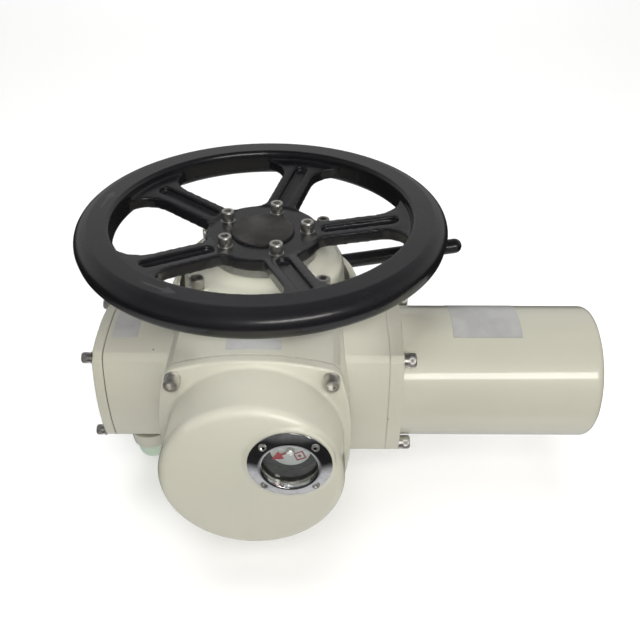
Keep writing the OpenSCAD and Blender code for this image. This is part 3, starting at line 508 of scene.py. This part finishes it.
# one socket head screw on every vertex of the mesh, turned and sized by its attributes
def makeScrewTree():
    tree = bpy.data.node_groups.new("knurledScrews", "GeometryNodeTree")
    face = tree.interface
    face.new_socket("Geometry", in_out="INPUT", socket_type="NodeSocketGeometry")
    sockets = {}
    for key in knurledScrew:
        socket = face.new_socket(key, in_out="INPUT", socket_type="NodeSocketFloat")
        sockets[key] = socket.identifier
    socket = face.new_socket("finish", in_out="INPUT", socket_type="NodeSocketMaterial")
    sockets["finish"] = socket.identifier
    face.new_socket("Geometry", in_out="OUTPUT", socket_type="NodeSocketGeometry")
    ins = addNode(tree, "NodeGroupInput").outputs
    outs = addNode(tree, "NodeGroupOutput")

    def times(first, second):
        return maths(tree, "MULTIPLY", first, second)

    def cylinder(**sizes):
        node = addNode(tree, "GeometryNodeMeshCylinder", fill_type="NGON")
        return setInputs(node, **sizes).outputs["Mesh"]

    # the head: knurls round its middle, and a chamfer at its top
    head = cylinder(Vertices=120, Side_Segments=8, Radius=ins["headRadius"], Depth=ins["headHeight"])
    place = addNode(tree, "ShaderNodeSeparateXYZ")
    tree.links.new(addNode(tree, "GeometryNodeInputPosition").outputs[0], place.inputs[0])
    x, y, z = place.outputs
    wave = maths(tree, "SINE", times(maths(tree, "ARCTAN2", y, x), ins["knurls"]))
    upper = maths(tree, "GREATER_THAN", z, times(ins["headHeight"], ins["chamferFrom"]))
    middle = maths(tree, "LESS_THAN", maths(tree, "ABSOLUTE", z), times(ins["headHeight"], ins["knurlTo"]))
    ripple = times(times(wave, ins["knurlDepth"]), middle)
    relative = maths(tree, "DIVIDE", ripple, ins["headRadius"])
    shrink = times(upper, times(ins["chamfer"], -1.0))
    factor = maths(tree, "ADD", maths(tree, "ADD", relative, shrink), 1.0)
    joined = addNode(tree, "ShaderNodeCombineXYZ")
    setInputs(joined, X=times(x, factor), Y=times(y, factor), Z=z)
    carve = addNode(tree, "GeometryNodeSetPosition")
    setInputs(carve, Geometry=head, Position=joined.outputs[0])

    # the hexagon socket, then the shank
    hexagon = cylinder(Vertices=6, Radius=ins["socketRadius"], Depth=times(ins["socketDepth"], 2.0))
    cut = addNode(tree, "GeometryNodeMeshBoolean", operation="DIFFERENCE", solver="EXACT")
    tree.links.new(raised(tree, carve.outputs[0], times(ins["headHeight"], 0.5)), cut.inputs["Mesh 1"])
    tree.links.new(raised(tree, hexagon, ins["headHeight"]), cut.inputs["Mesh 2"])
    shank = cylinder(Vertices=24, Radius=ins["shankRadius"], Depth=ins["shankLength"])
    whole = addNode(tree, "GeometryNodeJoinGeometry")
    tree.links.new(cut.outputs["Mesh"], whole.inputs[0])
    tree.links.new(raised(tree, shank, times(ins["shankLength"], -0.5)), whole.inputs[0])

    attributes = {}
    for name, kind in (("turn", "FLOAT_VECTOR"), ("size", "FLOAT")):
        read = addNode(tree, "GeometryNodeInputNamedAttribute", data_type=kind)
        attributes[name] = setInputs(read, Name=name).outputs["Attribute"]
    copies = addNode(tree, "GeometryNodeInstanceOnPoints")
    setInputs(copies, Points=ins["Geometry"], Instance=whole.outputs[0], Rotation=attributes["turn"],
              Scale=attributes["size"])
    real = setInputs(addNode(tree, "GeometryNodeRealizeInstances"), Geometry=copies.outputs[0])
    finish = addNode(tree, "GeometryNodeSetMaterial")
    setInputs(finish, Geometry=real.outputs[0], Material=ins["finish"])
    tree.links.new(finish.outputs[0], outs.inputs[0])
    return tree, sockets


# the loose solids of a CAD node, each as its lowest and highest corner
def islands(node):
    work = weldedMesh(node)
    left = set(work.verts)
    found = []
    while left:
        stack = [left.pop()]
        group = list(stack)
        while stack:
            for edge in stack.pop().link_edges:
                for vert in edge.verts:
                    if vert in left:
                        left.discard(vert)
                        stack.append(vert)
                        group.append(vert)
        low = Vector([min(v.co[k] for v in group) for k in range(3)])
        high = Vector([max(v.co[k] for v in group) for k in range(3)])
        found.append((low, high))
    work.free()
    return sorted(found, key=lambda corners: [round(v, 4) for v in corners[0]])


screwSets = {
    "handwheel": {"handwheel_screws": (0, 0, 1)},
    "case": {"top_cover_screws": (0, 0, 1), "front_screws": (0, -1, 0), "motor_screws": (1, 0, 0),
             "terminal_screws": (-1, 0, 0), "bezel_screws": (0, -1, 0)},
}
screwSeats = {"firstTurn": 0.4, "nextTurn": 1.9, "shrink": 0.985}    # radians, and a share of the CAD size
screwTree, screwSockets = makeScrewTree()


def makeScrews(body, sets):
    places, turns, sizes = [], [], []
    for node, axis in sets.items():
        axis = Vector(axis)
        for count, (low, high) in enumerate(islands(node)):
            middle = (low + high) / 2
            half = (high - low) / 2
            across = min(half)
            tip = middle + axis * abs(half.dot(axis))
            scale = across / knurledScrew["headRadius"]
            places.append(tip - axis * knurledScrew["headHeight"] * scale)
            spin = Matrix.Rotation(count * screwSeats["nextTurn"] + screwSeats["firstTurn"], 4, "Z")
            turn = axis.to_track_quat("Z", "Y").to_matrix().to_4x4() @ spin
            turns.extend(turn.to_euler())
            sizes.append(scale * screwSeats["shrink"])
    mesh = bpy.data.meshes.new(body + "Seats")
    mesh.from_pydata(places, [], [])
    mesh.attributes.new("turn", "FLOAT_VECTOR", "POINT").data.foreach_set("vector", turns)
    mesh.attributes.new("size", "FLOAT", "POINT").data.foreach_set("value", sizes)
    temp = bpy.data.objects.new(body + "Seats", mesh)
    scene.collection.objects.link(temp)
    modifier = temp.modifiers.new("screws", "NODES")
    modifier.node_group = screwTree
    for key, value in knurledScrew.items():
        modifier[screwSockets[key]] = float(value)
    modifier[screwSockets["finish"]] = coatings["stainless"]
    made = baked(temp)
    made.set_sharp_from_angle(angle=radians(35))
    print(body, "screws", len(places), len(made.polygons), "faces")
    addPiece(body + "Screws", made, "stainless", body, *sets)


for body, sets in screwSets.items():
    makeScrews(body, sets)


# the window, its dial mark and its arrow, in millimetres and degrees
window = {"across": 31.9, "up": 160.8, "ringSeat": 222.5, "dialSeat": 203.0, "dialRadius": 16.6,
          "dialThick": 1.5}
dialMark = {"inner": 3.2, "outer": 4.2, "dot": 1.3, "turn": 22, "place": (7.4, -6.0), "thick": 0.2}
arrow = {"turn": 211.0, "layer": (2.0, 2.8),
         "outline": [(0, -0.6), (9, -0.6), (9, -4.4), (18, 0), (9, 4.4), (9, 0.6), (0, 0.6)]}
# radius and height round the ring's section
ringProfile = [(22.4, 0), (22.4, 3.2), (22.9, 3.8), (23.4, 4.0), (25.6, 4.0), (26.1, 3.8), (33.4, 1.3),
               (34.0, 0.9), (34.2, 0.4), (34.2, 0)]


# window plane to the shared frame: x to the right, y up, z towards the viewer, in millimetres
def inWindow(x, y, z):
    return Vector((window["across"] + x, -z, window["up"] + y)) * 0.001


def lathe(name, profile, seat, steps=128):
    work = bmesh.new()
    rings = []
    for step in range(steps):
        turn = 2 * pi * step / steps
        points = [inWindow(r * cos(turn), r * sin(turn), seat + z) for r, z in profile]
        rings.append([work.verts.new(point) for point in points])
    count = len(profile)
    for step in range(steps):
        here, there = rings[step], rings[(step + 1) % steps]
        for k in range(count):
            j = (k + 1) % count
            work.faces.new((here[k], there[k], there[j], here[j]))
    return finishMesh(work, name)


def finishMesh(work, name):
    bmesh.ops.recalc_face_normals(work, faces=work.faces)
    mesh = bpy.data.meshes.new(name)
    work.to_mesh(mesh)
    work.free()
    mesh.shade_smooth()
    mesh.set_sharp_from_angle(angle=radians(28))
    return mesh


def windowPlate(work, outline, low, high):
    addPlate(work, [inWindow(x, y, high) for x, y in outline], [inWindow(x, y, low) for x, y in outline])


def turned(points, angle, x=0.0, y=0.0):
    c, d = cos(radians(angle)), sin(radians(angle))
    return [(x + c * px - d * py, y + d * px + c * py) for px, py in points]


def disc(radius, step):
    return [(radius * cos(radians(a)), radius * sin(radians(a))) for a in range(0, 360, step)]


def makeWindow():
    ring = lathe("windowRing", ringProfile, window["ringSeat"])
    addPiece("windowRing", ring, "chrome_bezel", "case", "window_bezel")
    seat = window["dialSeat"]
    face = seat + window["dialThick"]
    dial = bmesh.new()
    windowPlate(dial, disc(window["dialRadius"], 5), seat, face)
    addPiece("dial", finishMesh(dial, "dial"), "dial_white", "case", "indicator_plate")
    inner, outer = dialMark["inner"], dialMark["outer"]
    marks = bmesh.new()
    for side in range(4):
        bar = turned([(-outer, inner), (outer, inner), (outer, outer), (-outer, outer)], 90 * side)
        windowPlate(marks, turned(bar, dialMark["turn"], *dialMark["place"]), face, face + dialMark["thick"])
    dot = turned(disc(dialMark["dot"], 30), 0, *dialMark["place"])
    windowPlate(marks, dot, face, face + dialMark["thick"])
    addPiece("dialMarks", finishMesh(marks, "dialMarks"), "pointer_red", "case")
    pointer = bmesh.new()
    low, high = arrow["layer"]
    windowPlate(pointer, turned(arrow["outline"], arrow["turn"]), seat + low, seat + high)
    addPiece("pointerArrow", finishMesh(pointer, "pointerArrow"), "pointer_red", "indicator",
             "indicator_pointer")


makeWindow()
print("window made")


stage = {"camera": (0.0586, -0.6788, 0.6185), "pitch": 34.88, "yaw": 0.34, "lens": 45.18,
         "floor": 0.86, "glow": 0.20, "target": (0.05, -0.05, 0.15)}
sky = {"back": 0.42, "front": 0.14, "low": 0.02, "overheadDim": 0.75, "below": 0.55, "backdrop": 0.8}
# only the mirrored lamp shows in reflections
lamps = {
    "frontPanel": {"place": (0.80, -2.1, 1.22), "size": (1.7, 0.42), "watts": 18,
                   "colour": (1.0, 0.97, 0.92), "mirrored": True},
    "frontFill": {"place": (0.12, -1.0, 1.02), "size": (0.6, 0.5), "watts": 8.0,
                  "colour": (1.0, 0.99, 0.97)},
    "rightFill": {"place": (2.2, -0.8, 1.2), "size": (1.6, 1.6), "watts": 14, "colour": (1.0, 0.97, 0.94)},
    "leftFill": {"place": (-2.2, -0.8, 1.2), "size": (1.6, 1.6), "watts": 9, "colour": (0.95, 1.0, 0.93)},
    "topPanel": {"place": (-0.1, 0.1, 2.3), "size": (1.6, 1.2), "watts": 26},
    "gapLamp": {"place": (0.03, -0.72, 0.70), "size": (0.1, 0.1), "watts": 0.13,
                "target": (0, -0.04, 0.22), "spread": 24},
    "backPanel": {"place": (0, 3.2, 2.2), "size": (4.0, 1.5), "watts": 60, "target": (0, 2.9, 0)},
}


def areaLight(name, look):
    data = bpy.data.lights.new(name, "AREA")
    data.shape = "RECTANGLE"
    data.size, data.size_y = look["size"]
    data.energy = look["watts"]
    data.color = look.get("colour", (1, 1, 1))
    data.spread = radians(look.get("spread", 180))
    light = bpy.data.objects.new(name, data)
    light.location = look["place"]
    aim = Vector(look.get("target", stage["target"])) - Vector(look["place"])
    light.rotation_euler = aim.to_track_quat("-Z", "Y").to_euler()
    light.visible_glossy = look.get("mirrored", False)
    scene.collection.objects.link(light)


# a plain studio: bright above and behind, dimmer in front and overhead, dark below
def makeSky():
    world = scene.world or bpy.data.worlds.new("studio")
    scene.world = world
    world.use_nodes = True
    tree = world.node_tree

    def times(first, second):
        return maths(tree, "MULTIPLY", first, second)

    way = addNode(tree, "ShaderNodeSeparateXYZ")
    feed(way.inputs[0], addNode(tree, "ShaderNodeTexCoord").outputs["Generated"])
    y, z = way.outputs["Y"], way.outputs["Z"]
    upper = maths(tree, "ADD", times(ramp(tree, y, -0.35, 0.55), sky["back"] - sky["front"]), sky["front"])
    dimmed = maths(tree, "SUBTRACT", 1.0, times(ramp(tree, z, 0.42, 0.85), sky["overheadDim"]))
    upper = times(times(upper, dimmed), ramp(tree, z, -0.12, 0.12))
    under = times(ramp(tree, times(z, -1.0), 0.62, 0.85), sky["below"])
    lit = maths(tree, "ADD", upper, maths(tree, "ADD", under, sky["low"]))
    seen = addNode(tree, "ShaderNodeLightPath").outputs["Is Camera Ray"]    # the backdrop itself is pale
    lit = times(lit, maths(tree, "SUBTRACT", 1.0, seen))
    strength = maths(tree, "ADD", lit, times(seen, sky["backdrop"]))
    setInputs(tree.nodes["Background"], Strength=strength, Color=(1, 1, 1, 1))


def makeStage():
    bpy.ops.mesh.primitive_plane_add(size=16, location=(0, 0, 0))
    floor = bpy.context.object
    floor.name = "floor"
    tree, principled = startMaterial("paleFloor", Roughness=0.9, Specular_IOR_Level=0.1,
                                     Emission_Color=(1, 1, 1, 1), Emission_Strength=stage["glow"])
    shade = (stage["floor"],) * 3
    mottle = noiseAt(tree, objectCoords(tree), 4.0)
    setInputs(principled, Base_Color=blendColour(tree, mottle, shade, scaled(shade, 0.98)))
    floor.data.materials.append(coatings["paleFloor"])
    floor.visible_glossy = False
    makeSky()
    for name, look in lamps.items():
        areaLight(name, look)
    camera = bpy.data.objects.new("camera", bpy.data.cameras.new("camera"))
    camera.data.lens = stage["lens"]
    camera.data.sensor_width = 36
    camera.location = stage["camera"]
    camera.rotation_euler = (radians(90 - stage["pitch"]), 0, radians(stage["yaw"]))
    scene.collection.objects.link(camera)
    scene.camera = camera
    scene.view_settings.view_transform = "Standard"


makeStage()
print("stage made:", len(lamps), "lamps")
